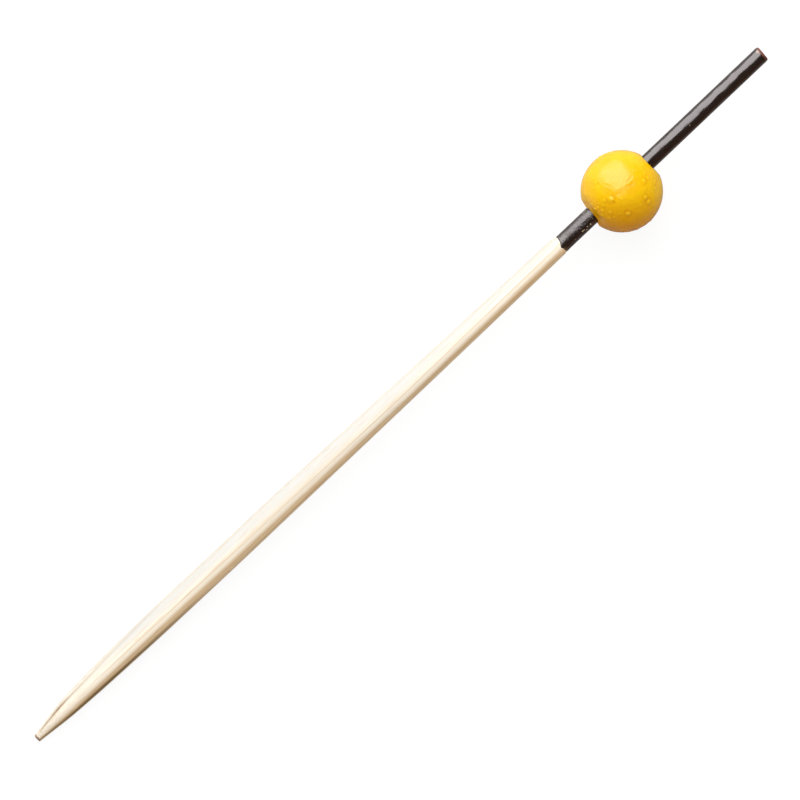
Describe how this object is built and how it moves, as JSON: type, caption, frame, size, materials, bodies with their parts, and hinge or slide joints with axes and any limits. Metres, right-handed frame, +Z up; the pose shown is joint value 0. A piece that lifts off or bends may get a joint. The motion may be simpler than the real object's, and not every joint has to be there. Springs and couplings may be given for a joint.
{
  "type": "cocktail pick",
  "caption": "Slim sharpened bamboo pick for cocktail garnishes and finger food, with a painted wooden ball pushed onto its thinner black lacquered head end.",
  "frame": {"origin": "middle of the pick's footprint on the table that it lies on", "axes": "+X from the point to the head end, +Z up from the table, with the pick lying at rest"},
  "size_m": [0.12, 0.0098, 0.0099],
  "materials": {
    "bamboo": "shaved and tumbled bamboo, dry and satin, with fine fibres along the stick",
    "black_lacquer": "black lacquer dip coat on the stick's head end, half gloss, thin and worn at its edge",
    "yellow_paint": "glossy yellow paint on a turned wooden ball, with small pimples"
  },
  "bodies": {
    "root": {"stick": "bamboo", "bead": "yellow_paint"}
  },
  "joints": []
}
